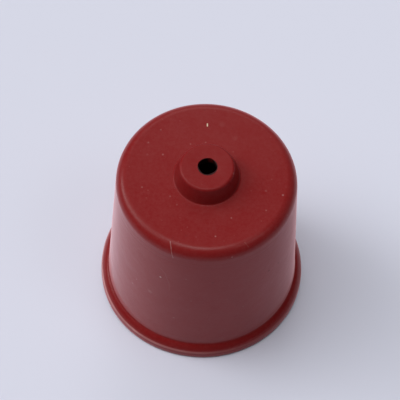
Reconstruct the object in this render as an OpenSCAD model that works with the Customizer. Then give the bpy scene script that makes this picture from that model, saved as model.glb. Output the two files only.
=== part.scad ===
// Rubber cap stopper for the neck of a demijohn or another round vessel.
// One moulded piece: a tapered cup that stands on its open rim, mouth down, with a
// hollow nipple on its closed end. The vessel's neck goes up into the cup, and the stem
// of an airlock or a glass tube is pushed down through the bore in the nipple's lip.
// The origin is the centre of the rim's foot, and +Z is the axis of the cup.

/* [Rim] */
// Outside diameter of the rim
rim_d = 64; // [64:0.5:67]
// Height of the rim's side, up to where the sloping ledge would meet it
rim_h = 3.5; // [3:0.1:6]
// Fall of the ledge from the wall out to the rim, in degrees
ledge_slope = 32; // [30:1:45]
// Radius that rounds the ledge over into the rim's side
rim_edge_r = 4; // [0.4:0.1:4.1]
// Radius of the hollow where the ledge runs up into the wall
flare_r = 0.8; // [0.2:0.1:0.9]
// Radius on the two edges of the foot
foot_r = 0.6; // [0.2:0.1:1.1]

/* [Wall] */
// Outside diameter of the wall, carried down to the foot
wall_foot_d = 59.7; // [55:0.1:59.8]
// Outside diameter of the wall, carried up to the flat top
wall_top_d = 54; // [48:0.2:56]
// Thickness of the wall
wall_t = 3; // [2:0.1:4.5]
// Radius of the shoulder between the wall and the flat top
shoulder_r = 3.6; // [1:0.1:8]

/* [Top] */
// Height of the flat top above the foot
top_h = 57.6; // [40:0.2:80]
// Thickness of the flat top
top_t = 3.6; // [2.5:0.1:6]
// Radius in the corner of the cup, under the shoulder
inner_r = 2.2; // [0.5:0.1:5]

/* [Nipple] */
// Height of the nipple above the flat top
nipple_h = 5.6; // [4:0.1:12]
// Diameter of the nipple where it leaves the flat top
nipple_foot_d = 19.8; // [18.6:0.1:24]
// Diameter of the nipple at its upper face
nipple_top_d = 16.2; // [13:0.1:17]
// Radius on the upper edge of the nipple
nipple_edge_r = 1; // [0.2:0.1:1.4]
// Radius in the corner round the foot of the nipple
nipple_root_r = 0.5; // [0.2:0.1:1.4]
// Diameter of the bore through the nipple's lip
bore_d = 5.6; // [4:0.1:7]
// Thickness of the lip that the bore goes through
lip_t = 2.2; // [1.4:0.1:3]

/* [Hollow of the nipple] */
// Diameter of the hollow where it opens into the cup
hollow_foot_d = 13.4; // [12:0.1:14.6]
// Diameter of the hollow under the lip
hollow_top_d = 10.4; // [9.4:0.1:11.6]
// Radius on the two edges of the hollow
hollow_r = 1; // [0.2:0.1:1.1]

/* [Quality] */
// Number of chords in each rounded corner
corner_steps = 12; // [4:1:24]

/* [Hidden] */
rubber_red = [0.47, 0.14, 0.14];
rim_r = rim_d / 2;
bore_r = bore_d / 2;
total_h = top_h + nipple_h;
cup_h = top_h - top_t;
hollow_h = total_h - lip_t;
// Lean of the wall from upright, and the wall's width as a level cut through it shows it
wall_lean = atan2((wall_foot_d - wall_top_d) / 2, top_h);
wall_level_t = wall_t / cos(wall_lean);

// Radius of the wall's outside at a height z
function wall_at(z) = wall_foot_d / 2 - z * tan(wall_lean);
// Height of the ledge at a radius r
function ledge_at(r) = rim_h + (rim_r - r) * tan(ledge_slope);
// Radius at which the ledge meets the wall
ledge_r = (wall_foot_d / 2 - ledge_at(0) * tan(wall_lean))
    / (1 - tan(ledge_slope) * tan(wall_lean));

// Half of the section, from the foot's inner edge round the outside and back up the
// inside. Each corner is its radius from the axis, its height and its rounding.
corners = [
    [wall_at(0) - wall_level_t, 0, foot_r],
    [rim_r, 0, foot_r],
    [rim_r, rim_h, rim_edge_r],
    [ledge_r, ledge_at(ledge_r), flare_r],
    [wall_top_d / 2, top_h, shoulder_r],
    [nipple_foot_d / 2, top_h, nipple_root_r],
    [nipple_top_d / 2, total_h, nipple_edge_r],
    [bore_r, total_h, 0],
    [bore_r, hollow_h, 0],
    [hollow_top_d / 2, hollow_h, hollow_r],
    [hollow_foot_d / 2, cup_h, hollow_r],
    [wall_at(cup_h) - wall_level_t, cup_h, inner_r],
];

function unit(v) = v / norm(v);

// The arc of radius r that rounds the corner at p between the points before and after it
function rounded(before, p, after, r) =
    let (
        u = unit(before - p),
        v = unit(after - p),
        half_angle = acos(u * v) / 2,
        centre = p + unit(u + v) * r / sin(half_angle),
        first = p + u * r / tan(half_angle) - centre,
        last = p + v * r / tan(half_angle) - centre,
        turn = 180 - 2 * half_angle,
        side = sign(first[0] * last[1] - first[1] * last[0])
    )
    [for (i = [0:corner_steps])
        let (a = side * turn * i / corner_steps)
        centre + [first[0] * cos(a) - first[1] * sin(a),
                  first[0] * sin(a) + first[1] * cos(a)]];

function place(corner) = [corner[0], corner[1]];

// Points of the outline through a closed list of corners
function outline(list) =
    let (n = len(list))
    [for (i = [0:n - 1])
        let (p = place(list[i]), r = list[i][2])
        each r == 0
            ? [p]
            : rounded(place(list[(i + n - 1) % n]), p, place(list[(i + 1) % n]), r)];

module stopper() {
    color(rubber_red)
        rotate_extrude($fn = 180)
            polygon(outline(corners));
}

stopper();
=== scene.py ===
# %% [markdown]
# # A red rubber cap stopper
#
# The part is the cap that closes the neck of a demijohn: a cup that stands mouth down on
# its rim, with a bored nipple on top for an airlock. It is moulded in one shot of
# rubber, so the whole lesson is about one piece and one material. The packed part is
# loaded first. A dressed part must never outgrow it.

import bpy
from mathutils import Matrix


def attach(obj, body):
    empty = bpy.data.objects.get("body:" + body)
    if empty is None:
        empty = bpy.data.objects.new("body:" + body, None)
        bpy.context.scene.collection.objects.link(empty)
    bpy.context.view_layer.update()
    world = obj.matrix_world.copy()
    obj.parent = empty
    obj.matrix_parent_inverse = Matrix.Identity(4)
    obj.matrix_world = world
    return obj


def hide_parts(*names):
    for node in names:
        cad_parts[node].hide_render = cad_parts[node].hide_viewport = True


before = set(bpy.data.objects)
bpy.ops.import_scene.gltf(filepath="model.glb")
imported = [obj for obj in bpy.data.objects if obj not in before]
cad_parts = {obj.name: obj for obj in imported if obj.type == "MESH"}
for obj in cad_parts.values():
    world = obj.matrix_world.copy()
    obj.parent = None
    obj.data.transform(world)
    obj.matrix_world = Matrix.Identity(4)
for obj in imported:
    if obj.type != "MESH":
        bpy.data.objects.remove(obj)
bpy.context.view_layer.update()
print("nodes:", sorted(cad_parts))

# %% The tools of the lesson
import math

import bmesh
import bpy
from mathutils import Matrix, Vector

scene = bpy.context.scene
scene.view_settings.view_transform = "Standard"
MM = 0.001


def to_mm(values):
    """Metres as rounded millimetres, for printing."""
    return [round(v / MM, 2) for v in values]


print("view transform:", scene.view_settings.view_transform)

# %% [markdown]
# ## The camera
#
# The stopper is seen from the front and well above, through a long lens, so that its
# sides hardly run together. A camera in Blender looks along its own -Z. `to_track_quat`
# turns it towards a point, and a small turn about the line of sight is added after it,
# because whoever holds a camera seldom holds it quite level.

# %% Place the camera
camera_place = Vector((0, -322.0, 601.9)) * MM
camera_aim = Vector((-1.68, 0, 43.28)) * MM
camera_roll = math.radians(3.28)
sensor_width = 36
focal_length = 191.4

camera = bpy.data.objects.new("camera", bpy.data.cameras.new("camera"))
camera.data.sensor_width = sensor_width
camera.data.lens = focal_length
camera.rotation_mode = "QUATERNION"
line_of_sight = camera_aim - camera_place
upright = line_of_sight.to_track_quat("-Z", "Y").to_matrix()
rolled = upright @ Matrix.Rotation(camera_roll, 3, "Z")
camera.rotation_quaternion = rolled.to_quaternion()
camera.location = camera_place
scene.collection.objects.link(camera)
scene.camera = camera
print("camera to aim in mm:", round(line_of_sight.length / MM, 1))

# %% [markdown]
# ## The section of the cap
#
# A mould for such a cap is turned on a lathe, so the cap is one outline swept round an
# axis. It could be made from cylinders and cones joined by booleans, but the fillets
# between them would then be hard to keep even. Here the outline is drawn once as a
# closed wire of plain corners in the XZ plane. Each corner is rounded with a bevel, and
# a spin carries the wire round Z. The numbers are the packed part's own, in
# millimetres. Only the edges of the bore are rounded a little more than there.

# %% Name the sizes of the cap
rim_radius = 32.0
rim_height = 3.5
ledge_slope = math.radians(32)
wall_foot_radius = 29.85
wall_top_radius = 27.0
wall_thickness = 3.0
top_height = 57.6
top_thickness = 3.6
nipple_foot_radius = 9.9
nipple_top_radius = 8.1
nipple_height = 5.6
hollow_foot_radius = 6.7
hollow_top_radius = 5.2
lip_thickness = 2.2
bore_radius = 2.8
print("the rim is", 2 * rim_radius, "mm across")

# %% Name the radii that round its corners
foot_round = 0.6
rim_round = 4.0
flare_round = 0.8
shoulder_round = 3.6
nipple_root_round = 0.5
nipple_round = 1.0
bore_round = 0.15
hollow_round = 1.0
inner_round = 2.2
print("the shoulder's radius is", shoulder_round, "mm")

# %% Work out the rest of the sizes
total_height = top_height + nipple_height
hollow_height = total_height - lip_thickness
cup_height = top_height - top_thickness
wall_lean = math.atan((wall_foot_radius - wall_top_radius) / top_height)


def wall_at(height):
    """Radius of the wall's outside at a height."""
    return wall_foot_radius - height * math.tan(wall_lean)


def ledge_at(radius):
    """Height of the sloping ledge at a radius."""
    return rim_height + (rim_radius - radius) * math.tan(ledge_slope)


level_thickness = wall_thickness / math.cos(wall_lean)
ledge_radius = (wall_foot_radius - ledge_at(0) * math.tan(wall_lean)) / (
    1 - math.tan(ledge_slope) * math.tan(wall_lean)
)
print("height in mm:", round(total_height, 2))
print("the wall leans", round(math.degrees(wall_lean), 2), "degrees")

# %% Draw the outline as a wire
# Each corner is its radius, its height and the radius that rounds it.
corners = [
    (wall_at(0) - level_thickness, 0, foot_round),
    (rim_radius, 0, foot_round),
    (rim_radius, rim_height, rim_round),
    (ledge_radius, ledge_at(ledge_radius), flare_round),
    (wall_top_radius, top_height, shoulder_round),
    (nipple_foot_radius, top_height, nipple_root_round),
    (nipple_top_radius, total_height, nipple_round),
    (bore_radius, total_height, bore_round),
    (bore_radius, hollow_height, bore_round),
    (hollow_top_radius, hollow_height, hollow_round),
    (hollow_foot_radius, cup_height, hollow_round),
    (wall_at(cup_height) - level_thickness, cup_height, inner_round),
]

shell = bmesh.new()
wire = [shell.verts.new(Vector((radius, 0, height)) * MM) for radius, height, _ in corners]
for first, second in zip(wire, wire[1:] + wire[:1]):
    shell.edges.new((first, second))
print("corners in the wire:", len(wire))

# %% [markdown]
# ## Round the corners
#
# The bevel's offset is measured along the two edges that meet in a corner, not as a
# radius. An arc of radius r touches the edges at r / tan(half the corner's angle), so
# that is the offset each corner is given.

# %% Round each corner of the wire
BEVEL_STEPS = 12


def corner_angle(vert):
    """Angle between the two edges that meet in a corner of the wire."""
    first, second = [edge.other_vert(vert).co - vert.co for edge in vert.link_edges]
    return first.angle(second)


offsets = [radius * MM / math.tan(corner_angle(vert) / 2)
           for vert, (_, _, radius) in zip(wire, corners)]
for vert, offset in zip(wire, offsets):
    bmesh.ops.bevel(
        shell, geom=[vert], offset=offset, offset_type="OFFSET", segments=BEVEL_STEPS,
        profile=0.5, material=-1, affect="VERTICES", clamp_overlap=False,
    )
print("points in the rounded wire:", len(shell.verts))

# %% [markdown]
# ## The parting line
#
# The two halves of the mould meet a little above the foot, where the rim is nearly
# upright, and leave a fine raised line there. A second sweep could lay a bead over the
# rim, but moving the nearest point of the wire out by about a tenth of a millimetre gives
# the same ridge in the same skin.

# %% Raise the parting line
parting_height = 2.7
parting_rise = 0.12
on_rim = [vert for vert in shell.verts if vert.co.x > (rim_radius - 1) * MM]
parting = min(on_rim, key=lambda vert: abs(vert.co.z / MM - parting_height))
parting.co.x += parting_rise * MM
print("parting line at", to_mm(parting.co))

# %% [markdown]
# ## Spin the wire
#
# An outline drawn only on the outside would leave the cap open and thin. This one goes
# all the way round the section, bore included, so the spin closes it into a solid skin
# with no poles. The normals are worked out afresh, because a spin can turn them inward.

# %% Sweep the wire round the axis
SPIN_STEPS = 240
bmesh.ops.spin(
    shell, geom=shell.verts[:] + shell.edges[:], cent=(0, 0, 0), axis=(0, 0, 1),
    angle=math.tau, steps=SPIN_STEPS, use_merge=True, use_duplicate=False,
)
bmesh.ops.remove_doubles(shell, verts=shell.verts[:], dist=1e-7)
bmesh.ops.recalc_face_normals(shell, faces=shell.faces[:])
print("faces:", len(shell.faces), "volume in mm3:", round(shell.calc_volume() / MM**3))

# %% [markdown]
# ## A soft thing is never quite round
#
# Rubber takes a set. The rim has spread a little on the front left, where it was pulled
# over a neck, the nipple leans off its centre, and stems have worn the bore a little
# square. A lattice would do this too, but short rules on the vertices say exactly where
# each change starts and ends. All of it stays well inside the packed box.

# %% Say where each change starts and ends
# The spread is whole low down on the rim, and gone further up the wall.
rim_spread = 0.33
spread_whole_at = 4
spread_gone_at = 14

# The lean grows up the nipple, and is gone a little way out from its foot.
nipple_shift = Vector((-0.13, 0, 0)) * MM
lean_whole_at = 10
lean_gone_at = 13

# The wear is whole at the edge of the bore, and gone further out in the lip and below it.
bore_shift = Vector((0.1, 0.22, 0)) * MM
bore_shrink = 0.03
bore_corners = 0.04
corner_turn = math.radians(76)
wear_whole_at = 3.5
wear_gone_at = 6
wear_depth = 3
print("the rim spreads by", rim_spread, "mm and the nipple leans by", to_mm(nipple_shift))


# %% Let the rubber take its set
def ramp(value, start, end):
    """Rises smoothly from 0 at start to 1 at end."""
    step = min(max((value - start) / (end - start), 0), 1)
    return step * step * (3 - 2 * step)


for vert in shell.verts:
    radius, height = vert.co.xy.length / MM, vert.co.z / MM
    outward = vert.co.xy.to_3d().normalized()
    quarter = min(vert.co.x, 0) * min(vert.co.y, 0) / vert.co.xy.length_squared
    low_down = ramp(height, spread_gone_at, spread_whole_at)
    vert.co += outward * rim_spread * (2 * quarter) ** 2 * low_down * MM

    near_nipple = ramp(radius, lean_gone_at, lean_whole_at)
    vert.co += nipple_shift * near_nipple * ramp(height, top_height, total_height)

    in_lip = ramp(radius, wear_gone_at, wear_whole_at)
    in_lip *= ramp(height, hollow_height - wear_depth, hollow_height)
    azimuth = math.atan2(vert.co.y, vert.co.x)
    pinch = bore_shrink - bore_corners * math.cos(4 * (azimuth - corner_turn))
    vert.co -= vert.co.xy.to_3d() * pinch * in_lip
    vert.co += bore_shift * in_lip
widest = max(vert.co.xy.length for vert in shell.verts)
print("the rim's largest radius in mm:", round(widest / MM, 2))

# %% [markdown]
# ## From the bmesh to a piece
#
# A bmesh is only a workbench, so the cap gets a mesh and an object to carry it. The
# object could be moved into place, but materials read its own coordinates, so it stays
# at the origin, unturned, with the cap's place in its mesh. The packed solid is then
# hidden, and this piece stands for it.


# %% Make the stopper's object
def object_of(name, mesh_maker):
    """Turns a bmesh into an object at the origin."""
    mesh = bpy.data.meshes.new(name)
    mesh_maker.to_mesh(mesh)
    mesh_maker.free()
    made = bpy.data.objects.new(name, mesh)
    scene.collection.objects.link(made)
    return made


def finished(name, mesh_maker, body="root"):
    """Turns a bmesh into a smooth piece that rides on a body."""
    piece = object_of(name, mesh_maker)
    piece.data.shade_smooth()
    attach(piece, body)
    return piece


stopper = finished("rubber_cap", shell)
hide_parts("stopper")
print("points in the cap:", len(stopper.data.vertices))

# %% [markdown]
# ## Writing a material as sums
#
# A material could be wired by hand, node by node, but arithmetic is easier to read.
# `Wire` wraps one output socket. A sum of wires adds Math nodes, and every other node
# comes from `make`, which takes the node's type, its settings and what goes into its
# sockets.


# %% Wrap a socket
def feed(node, name, value):
    """Links a wire to a node's socket, or sets the socket to a plain value."""
    if isinstance(value, Wire):
        value.tree.links.new(value.socket, node.inputs[name])
    else:
        node.inputs[name].default_value = value


class Wire:
    """One output socket, with the arithmetic that the finishes below use."""

    def __init__(self, tree, socket):
        self.tree, self.socket = tree, socket

    def make(self, kind, settings=None, inputs=None, output=0):
        """A new node in the same tree, as the wire of one of its outputs."""
        node = self.tree.nodes.new(kind)
        for name, value in (settings or {}).items():
            setattr(node, name, value)
        for name, value in (inputs or {}).items():
            feed(node, name, value)
        return Wire(self.tree, node.outputs[output])

    def beside(self, output):
        """Another output of the same node."""
        return Wire(self.tree, self.socket.node.outputs[output])

    def maths(self, operation, *values):
        return self.make("ShaderNodeMath", {"operation": operation}, dict(enumerate(values)))

    def vector_maths(self, operation, *values, output=0):
        return self.make(
            "ShaderNodeVectorMath", {"operation": operation}, dict(enumerate(values)), output)

    def __add__(self, other):
        return self.maths("ADD", self, other)

    def __radd__(self, other):
        return self.maths("ADD", other, self)

    def __sub__(self, other):
        return self.maths("SUBTRACT", self, other)

    def __rsub__(self, other):
        return self.maths("SUBTRACT", other, self)

    def __mul__(self, other):
        return self.maths("MULTIPLY", self, other)

    def __rmul__(self, other):
        return self.maths("MULTIPLY", other, self)


print("a wire can:", [name for name in vars(Wire) if not name.startswith("__")])


# %% Start a material
def new_material(name):
    """A material with a Principled shader, and its wire of object coordinates."""
    material = bpy.data.materials.new(name)
    material.use_nodes = True
    tree = material.node_tree
    place = Wire(tree, tree.nodes.new("ShaderNodeTexCoord").outputs["Object"])
    return material, tree.nodes["Principled BSDF"], place


rubber, rubber_shader, place = new_material("cap_rubber")
print("nodes to start with:", len(rubber.node_tree.nodes))

# %% [markdown]
# ## The rubber's colour
#
# Moulded rubber is one colour all through, but never a flat one. Filler and bloom leave
# soft, slightly paler clouds, and a mottle and a fine grain break them up. An image could
# be laid over the cap, but noise in space needs no seam and no unwrapping. Each of the
# three is a noise centred on zero, so that the mean stays close to the rubber's own red.

# %% Cloud the rubber
rubber_red = (0.193, 0.0065, 0.007, 1)
bloom = (0.30, 0.10, 0.095, 1)


def noise(scale, detail=2.0, roughness=0.5):
    """Noise around zero, whose features are 1 / scale metres wide."""
    grey = place.make("ShaderNodeTexNoise", inputs={
        "Vector": place, "Scale": scale, "Detail": detail, "Roughness": roughness})
    return grey - 0.5


def mixed(factor, first, second, beside=place):
    """A colour on the way from the first to the second, in the same tree as a wire."""
    # A Mix node's colours come after its numbers and vectors: inputs 6 and 7, output 2.
    return beside.make("ShaderNodeMix", {"data_type": "RGBA"},
                       {0: factor, 6: first, 7: second}, output=2)


clouds = noise(140, detail=3.0)
grain = noise(1900)
mottle = noise(800, detail=3.0)
bloom_share = 0.05 + 0.12 * clouds + 0.14 * mottle + 0.12 * grain
colour = mixed(bloom_share, rubber_red, bloom)
print("nodes with the colour:", len(rubber.node_tree.nodes))

# %% [markdown]
# ## Dust and hairs
#
# Clean rubber still draws dust. Each speck is a small ball in space, placed by azimuth,
# radius and height. Wherever the skin passes through the ball, the speck's colour
# shows. A hair is the same thing round a line, and a pit is a speck painted dark as the
# shade inside it. Particles on the skin would be more pieces to keep, and at this size
# they'd look no different. Most of the marks' places were found by casting rays onto the
# cap, and then rounded.


# %% Masks for a speck and a hair
def at(azimuth, radius, height):
    """A point in metres, from an azimuth in degrees and sizes in millimetres."""
    turn = math.radians(azimuth)
    return Vector((radius * math.cos(turn), radius * math.sin(turn), height)) * MM


def on_wall_at(azimuth, height):
    """A point on the wall's outside."""
    return at(azimuth, wall_at(height), height)


def inside(distance, size):
    """One within a third of a size in millimetres, falling to zero at the whole of it."""
    return distance.make("ShaderNodeMapRange", {"interpolation_type": "SMOOTHSTEP"}, {
        "Value": distance, "From Min": size * MM, "From Max": size * MM / 3})


def speck(point, size):
    """The skin close to a point."""
    return inside(place.vector_maths("DISTANCE", place, point, output="Value"), size)


def hair(start, end, size):
    """The skin close to the line from start to end."""
    run = end - start
    offset = place.vector_maths("SUBTRACT", place, start)
    share = offset.vector_maths(
        "DOT_PRODUCT", offset, run / run.length_squared, output="Value")
    share = share.make("ShaderNodeClamp", inputs={"Value": share})
    nearest = share.make("ShaderNodeVectorMath", {"operation": "SCALE"},
                         {0: run, "Scale": share})
    return inside(offset.vector_maths("DISTANCE", offset, nearest, output="Value"), size)


def strongest(masks):
    """The largest of several masks, wire by wire."""
    total = masks[0]
    for mask in masks[1:]:
        total = total.maths("MAXIMUM", total, mask)
    return total


print("a point on the wall, half way up:", to_mm(on_wall_at(-90, top_height / 2)))

# %% Strew the dust
# Azimuth, radius, size and strength of the specks on the flat top.
top_specks = [
    (134, 21.2, 0.36, 0.2), (150, 21.0, 0.42, 0.24), (154, 15.1, 0.42, 0.32),
    (117, 12.2, 0.36, 0.22), (95, 11.8, 0.36, 0.25), (51, 11.7, 0.36, 0.15),
    (-165, 19.7, 0.42, 0.22), (161, 19.3, 0.5, 0.1), (-144, 13.0, 0.4, 0.2),
    (-129, 13.3, 0.36, 0.15), (-12, 18.1, 0.5, 0.15), (-12, 23.3, 0.42, 0.5),
    (-30, 20.8, 0.4, 0.2), (-60, 15.8, 0.36, 0.35), (-80, 20.5, 0.36, 0.5),
    (79, 18.7, 1.1, 0.05), (61, 15.8, 1.2, 0.05),
]
# Azimuth, height, size and strength of the specks on the wall.
wall_specks = [
    (-115.5, 39.6, 0.45, 2.0), (-133, 29, 0.42, 0.5), (-136, 24.6, 0.7, 0.3),
    (-122, 28, 1.1, 0.25), (-105, 18.7, 0.5, 0.35), (-71, 55.3, 0.42, 0.5),
    (-99, 43.2, 0.4, 0.3), (-62, 24, 0.36, 0.25), (-148, 14, 0.4, 0.3),
    (-95, 31, 0.36, 0.25),
]
# Azimuth, height, size and strength of the pits in the wall, painted dark as their shade.
wall_pits = [
    (-158, 48.8, 0.5, 0.5), (-165, 40.2, 0.6, 0.4), (-150, 36.3, 0.7, 0.35),
    (-153, 21.3, 0.9, 0.3), (-43.4, 36.7, 0.55, 0.9), (-34.4, 35.7, 0.5, 0.9),
    (-82.4, 42.4, 0.45, 0.5),
]
nipple_speck = at(-12, 8.0, total_height - 0.2)
dust = [0.2 * speck(nipple_speck, 0.5)]
dust += [strength * speck(at(azimuth, radius, top_height), size)
         for azimuth, radius, size, strength in top_specks]
dust += [strength * speck(on_wall_at(azimuth, height), size)
         for azimuth, height, size, strength in wall_specks]
pits = strongest([strength * speck(on_wall_at(azimuth, height), size)
                  for azimuth, height, size, strength in wall_pits])
print("specks:", len(dust), "pits:", len(wall_pits))

# %% Lay the hairs
shoulder_hair = [at(-112.7, 24.7, 57.4), at(-110.7, 26.0, 56.6),
                 at(-109.3, 26.9, 55.2), at(-108.1, 27.2, 53.3)]
short_hair = [at(-60.4, 24.7, 57.4), at(-59.2, 26.1, 56.5)]
wall_hair = [at(-116, 27.7, 44.6), at(-112.7, 27.8, 42.9), at(-111.5, 27.9, 40.9),
             at(-109.4, 28.0, 37.9), at(-109.0, 28.2, 34.0)]
# Each line of points, with the hair's size and strength.
laid = ((shoulder_hair, 0.24, 0.55), (short_hair, 0.24, 0.14), (wall_hair, 0.26, 0.13))
hairs = [strength * hair(start, end, size)
         for line, size, strength in laid
         for start, end in zip(line, line[1:])]
lint = hair(at(92.7, 18.4, top_height), at(92.7, 17.6, top_height), 0.25)
print("lengths of hair:", len(hairs))


# %% Scatter the finest dust and colour it all
def scatter(spacing, size, share):
    """Small dots strewn at random: their spacing and size in millimetres, and their share."""
    cells = place.make("ShaderNodeTexVoronoi", inputs={
        "Vector": place, "Scale": 1 / (spacing * MM), "Randomness": 1.0})
    chance = cells.make("ShaderNodeSeparateColor", inputs={"Color": cells.beside("Color")})
    chosen = chance.maths("LESS_THAN", chance, share)
    return inside(cells * (spacing * MM), size) * chosen


dust_grey = (0.55, 0.36, 0.34, 1)
lint_cream = (0.62, 0.52, 0.38, 1)
pit_shade_dark = (0.05, 0.008, 0.008, 1)

fine_dust = scatter(2.6, 0.30, 0.5)
fine_pits = scatter(3.1, 0.36, 0.4)
dusty = strongest(dust + hairs + [fine_dust * 0.12])
colour = mixed(dusty * 0.5, colour, dust_grey)
colour = mixed(lint, colour, lint_cream)
# The pits and the finest pits are painted dark, as the shade inside them.
colour = mixed(strongest([pits, fine_pits * 0.25]), colour, pit_shade_dark)
print("nodes with the dust:", len(rubber.node_tree.nodes))

# %% [markdown]
# ## Wear, a painted highlight and the satin skin
#
# The parting line is painted pale, most of all on the left where the light falls: partly
# wear and partly a painted highlight. The rest of the skin is satin: a fine bump, far smaller
# than anything the shape has. Two faint rings near the top of the wall are marks of the
# mould, and ride in the same bump. A painted mask would need the skin unwrapped. These
# masks read the height, the distance from the axis and the place from left to right instead.

# %% Measure the height and the reach
sideways = place.make("ShaderNodeSeparateXYZ", inputs={0: place})
level = sideways.beside("Z")
reach = place.vector_maths("MULTIPLY", place, (1, 1, 0))
reach = reach.vector_maths("LENGTH", reach, output="Value")


def rising(wire, start, end, lowest=0.0, highest=1.0, interpolation="SMOOTHSTEP"):
    """Lowest where a wire of metres is at start in millimetres, and highest at end."""
    return wire.make("ShaderNodeMapRange", {"interpolation_type": interpolation}, {
        "Value": wire, "From Min": start * MM, "From Max": end * MM,
        "To Min": lowest, "To Max": highest})


def band(middle, width):
    """One on a level line round the cap, falling to zero a width away in millimetres."""
    offset = level - middle * MM
    return inside(offset.maths("ABSOLUTE", offset), width)


print("nodes with the height and the reach:", len(rubber.node_tree.nodes))

# %% Paint the parting line pale, as wear and a highlight, and press in the mould rings
worn_and_highlight_pink = (0.50, 0.22, 0.21, 1)
ring_dark = (0.05, 0.004, 0.004, 1)
ring_heights = (52.7, 50.7)
ring_width = 0.45
worn_and_highlight_width = 0.5

outside = reach.maths("GREATER_THAN", reach, (rim_radius - 2) * MM)
# The pale line is partly wear and partly a painted highlight, strongest on the left where the
# light falls.
lit_left_share = rising(sideways, 15, -25, lowest=0.15, highest=0.8, interpolation="LINEAR")
worn_and_highlight = band(parting_height, worn_and_highlight_width) * outside * lit_left_share * (1 + 1.5 * clouds)
colour = mixed(worn_and_highlight, colour, worn_and_highlight_pink)

mould_rings = strongest([band(height, ring_width) for height in ring_heights])
colour = mixed(mould_rings * 0.10, colour, ring_dark)
relief = (0.10 * MM) * clouds + (0.012 * MM) * grain - (0.008 * MM) * mould_rings
skin_normal = relief.make("ShaderNodeBump", inputs={
    "Strength": 1.0, "Distance": 1.0, "Height": relief}, output="Normal")
print("mould rings:", len(ring_heights))

# %% [markdown]
# ## The finish of the top and the rim
#
# Bloom makes the rubber shine softly at a glance along it. A brighter light from behind
# would do that for one view only, and the sheen does it for all. Fingers have dulled the
# top and the shoulder a little. What changes over the skin is linked, and what is the same
# all over is set on the shader itself.

# %% Finish the top and the rim
handled = rising(level, 49, 56)

feed(rubber_shader, "Base Color", colour)
feed(rubber_shader, "Roughness", 0.16 + 0.06 * handled + 0.10 * clouds + 0.25 * dusty)
feed(rubber_shader, "Normal", skin_normal)
feed(rubber_shader, "Specular IOR Level", 0.12)
feed(rubber_shader, "Sheen Weight", 0.9)
feed(rubber_shader, "Sheen Tint", (1.0, 0.46, 0.49, 1))
feed(rubber_shader, "Sheen Roughness", 0.4)
print("linked sockets:", [socket.name for socket in rubber_shader.inputs if socket.is_linked])

# %% [markdown]
# ## The wall and the wiped nipple
#
# On the wall the bloom is whiter, because nobody's fingers rub it there, and its red is
# painted a little brighter, as painted light. The right of the wall is duller, and its pits are
# dull too.
# Stems and fingers wipe the nipple clean of bloom, and the bore is painted black, as the
# shade where no light reaches. A sheen's tint is one value for a whole shader, so each of
# these finishes has a shader of its own, and masks mix them in. One shader for the wall,
# with its roughness running from gloss to dull, would be simpler. But a render's clean-up
# treats a shiny skin and a dull one in two ways, and would leave a line where the one
# turned into the other.


# %% Make the other finishes
def another_skin(colour, roughness, constants):
    """A Principled shader with the rubber's relief and a finish of its own."""
    inputs = {"Base Color": colour, "Roughness": roughness, "Normal": skin_normal}
    return place.make("ShaderNodeBsdfPrincipled", inputs={**inputs, **constants})


wall_lit_red = (0.42, 0.004, 0.004, 1)
bore_shade_black = (0.008, 0.004, 0.004, 1)
bloomed = {"Specular IOR Level": 0.12, "Sheen Weight": 1.0,
           "Sheen Tint": (1.0, 0.60, 0.64, 1), "Sheen Roughness": 0.34}
wiped = {"Specular IOR Level": 0.12}

in_bore = rising(reach, bore_radius + 0.25, bore_radius + 0.1)
in_bore = in_bore * rising(level, hollow_height - 0.5, hollow_height)
# The wall's red is painted a little brighter than the top's, as painted light.
wall_lit_colour = mixed(0.13, colour, wall_lit_red)
# The bore is painted black, as the shade deep inside it.
nipple_colour = mixed(in_bore * 0.95, colour, bore_shade_black)

glossy_wall = another_skin(wall_lit_colour, 0.14 + 0.10 * clouds + 0.25 * dusty, bloomed)
dull_wall = another_skin(wall_lit_colour, 0.50 + 0.10 * clouds + 0.4 * pits, bloomed)
wiped_nipple = another_skin(nipple_colour, 0.34 + 0.10 * clouds, wiped)
print("shaders:", sum(node.type == "BSDF_PRINCIPLED" for node in rubber.node_tree.nodes))


# %% Mix the finishes
def mixed_in(mask, under, over):
    """One shader over another, wherever the mask is one."""
    return mask.make("ShaderNodeMixShader", inputs={0: mask, 1: under, 2: over})


on_right = rising(sideways, -8, 26)
on_wall = rising(level, 56, 53) * rising(level, 6, 9)
on_nipple = rising(reach, nipple_foot_radius + 0.5, nipple_foot_radius - 0.4)
on_nipple = on_nipple * rising(level, top_height - 0.5, top_height - 0.1)

skin = Wire(rubber.node_tree, rubber_shader.outputs[0])
skin = mixed_in(on_wall, skin, mixed_in(on_right, glossy_wall, dull_wall))
skin = mixed_in(on_nipple, skin, wiped_nipple)
feed(rubber.node_tree.nodes["Material Output"], "Surface", skin)
stopper.data.materials.append(rubber)
print("nodes in the rubber:", len(rubber.node_tree.nodes))

# %% [markdown]
# ## The paper
#
# The cap stands on a sheet of pale, faintly blue paper. It has to be there: the steep
# wall of the cap mirrors the paper, and without it the wall would go black. A curved
# backdrop could stand behind the cap too, but from this high up the sheet fills the view.

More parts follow.
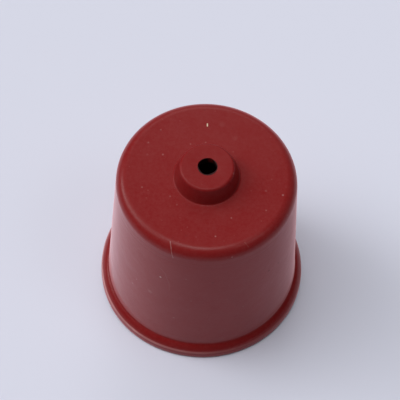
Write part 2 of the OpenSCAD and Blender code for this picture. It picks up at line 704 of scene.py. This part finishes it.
# %% Lay the paper
PAPER_HALF_WIDTH = 2.0
sheet = bmesh.new()
bmesh.ops.create_grid(sheet, x_segments=1, y_segments=1, size=PAPER_HALF_WIDTH)
paper = object_of("paper", sheet)
paper_blue = (0.645, 0.66, 0.765, 1)
paper_finish, paper_shader, _ = new_material("pale_paper")
feed(paper_shader, "Base Color", paper_blue)
feed(paper_shader, "Roughness", 0.9)
paper.data.materials.append(paper_finish)
print("the paper is", 2 * PAPER_HALF_WIDTH, "m across")

# %% [markdown]
# ## The light
#
# The light is soft, and comes mostly from the left and from above. Lamps would do, but each
# would leave a hard edge in the satin skin. Here the light is the sky itself: a sum of
# soft round glows, most of them behind the cap and to its left, so the shadow falls to the
# front right. Their places and strengths were found by a fit and then rounded, so they
# stand for no real window or lamp. The camera doesn't see them: it sees the paper's own
# pale blue to the horizon.

# %% Make a soft light
room = bpy.data.worlds.new("room")
room.use_nodes = True
scene.world = room
background = room.node_tree.nodes["Background"]
gaze = Wire(room.node_tree, room.node_tree.nodes.new("ShaderNodeTexCoord").outputs["Generated"])


def soft_light(azimuth, elevation, sharpness, strength):
    """A round glow in the sky that fades away from its middle."""
    across, upward = math.cos(math.radians(elevation)), math.sin(math.radians(elevation))
    turn = math.radians(azimuth)
    toward = (across * math.cos(turn), across * math.sin(turn), upward)
    closeness = gaze.vector_maths("DOT_PRODUCT", gaze, toward, output="Value")
    falloff = sharpness * (closeness - 1)
    return strength * falloff.maths("EXPONENT", falloff)


print("the world reads", gaze.socket.name, "coordinates")

# %% Light the cap
# Each soft light is its azimuth and elevation in degrees, its sharpness and its strength.
from_left = [(160, 30, 60, 8.0), (175, 45, 60, 4.0), (180, 60, 18, 3.0)]
from_above = [(-145, 85, 60, 4.7), (70, 85, 60, 4.5)]
from_behind = [(95, 40, 18, 1.8), (90, 40, 60, 1.2), (120, 40, 60, 0.6)]
from_right = [(-20, 60, 60, 2.5)]
soft_lights = from_left + from_above + from_behind + from_right
white = (1, 1, 1, 1)
horizon_blue = (0.63, 0.645, 0.74, 1)

glow = soft_light(*soft_lights[0])
for light in soft_lights[1:]:
    glow = glow + soft_light(*light)
seen = gaze.make("ShaderNodeLightPath", output="Is Camera Ray")
feed(background, "Color", mixed(seen, white, horizon_blue, beside=gaze))
feed(background, "Strength", (1 - seen) * glow + seen)
print("soft lights:", len(soft_lights))

# %% [markdown]
